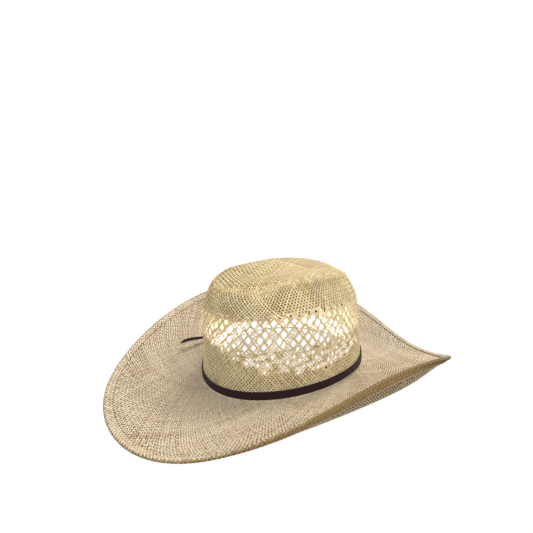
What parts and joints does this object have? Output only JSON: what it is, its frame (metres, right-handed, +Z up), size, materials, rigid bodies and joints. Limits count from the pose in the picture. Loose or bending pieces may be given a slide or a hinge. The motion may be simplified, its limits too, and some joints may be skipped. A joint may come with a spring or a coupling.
{
  "type": "cowboy hat",
  "caption": "Woven straw cowboy hat with a dented, open-work crown, upturned side brims, a wired hem, a leather sweatband and a narrow dark ribbon hatband.",
  "frame": {"origin": "centre of the head opening, at the height where crown and brim meet", "axes": "+Z up, -Y to the front of the hat, +X to the wearer's left"},
  "size_m": [0.3336, 0.4373, 0.1473],
  "materials": {
    "straw_crown": "woven straw, open work, dry",
    "straw_brim": "fine woven straw, stiffened, dry",
    "straw_hem": "turned and pressed straw edge",
    "steel_wire": "drawn spring wire",
    "brass_sleeve": "crimped tube",
    "hem_thread": "sewing thread",
    "band_thread": "sewing thread",
    "sweatband_leather": "thin pale leather, smooth face, dark back",
    "reed_plastic": "extruded cord",
    "cloth_tape": "woven tape",
    "bow_ribbon": "satin ribbon",
    "hatband_ribbon": "ribbed ribbon, dark maroon brown"
  },
  "bodies": {
    "hat": {"crown": "straw_crown", "brim": "straw_brim", "brim_hem": "straw_hem", "brim_wire": "steel_wire", "brim_wire_sleeve": "brass_sleeve", "hem_stitching": "hem_thread", "sweatband_reed": "reed_plastic", "sweatband_stitching": "band_thread"},
    "sweatband": {"sweatband": "sweatband_leather", "sweatband_seam_tape": "cloth_tape", "sweatband_seam_stitching": "band_thread", "sweatband_bow": "bow_ribbon"},
    "hatband": {"hatband_strap": "hatband_ribbon", "hatband_knot": "hatband_ribbon", "hatband_loop": "hatband_ribbon", "hatband_tail": "hatband_ribbon"}
  },
  "joints": [
    {"name": "hatband_lift", "type": "slide", "parent": "hat", "child": "hatband", "axis": [0, 0, 1], "range_m": [0, 0.13]},
    {"name": "sweatband_turn_down", "type": "slide", "parent": "hat", "child": "sweatband", "axis": [0, 0, -1], "range_m": [0, 0.025]}
  ]
}
